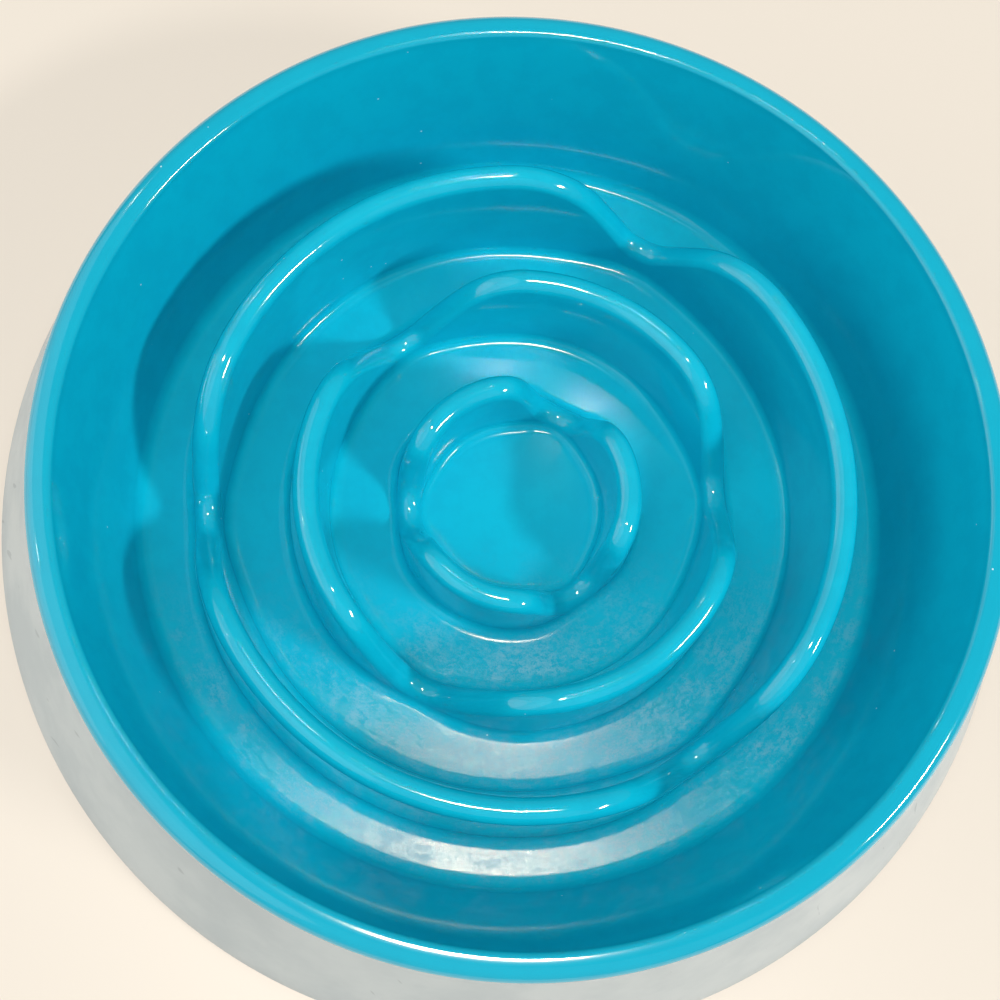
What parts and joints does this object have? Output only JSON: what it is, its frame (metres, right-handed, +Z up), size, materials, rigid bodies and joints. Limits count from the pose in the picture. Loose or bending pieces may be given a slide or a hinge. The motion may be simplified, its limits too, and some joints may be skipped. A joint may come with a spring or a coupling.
{
  "type": "slow feeder bowl",
  "caption": "Round pet bowl whose floor carries concentric notched ridges that slow down eating, set in a flared pale stand.",
  "frame": {"origin": "on the table, under the middle of the bowl", "axes": "+Z up out of the bowl's mouth; +X through a notch of the middle ridge"},
  "size_m": [0.334, 0.334, 0.069],
  "materials": {
    "stand_plastic": "pale grey moulding with a soft shine and a few scuffs",
    "bowl_plastic": "glossy teal moulding, scuffed and hazy on the floors",
    "foot_rubber": "matt dark rubber"
  },
  "bodies": {
    "root": {"bowl_shell": "bowl_plastic", "stand": "stand_plastic", "foot_1": "foot_rubber", "foot_2": "foot_rubber", "foot_3": "foot_rubber", "foot_4": "foot_rubber", "foot_5": "foot_rubber", "foot_6": "foot_rubber"}
  },
  "joints": []
}
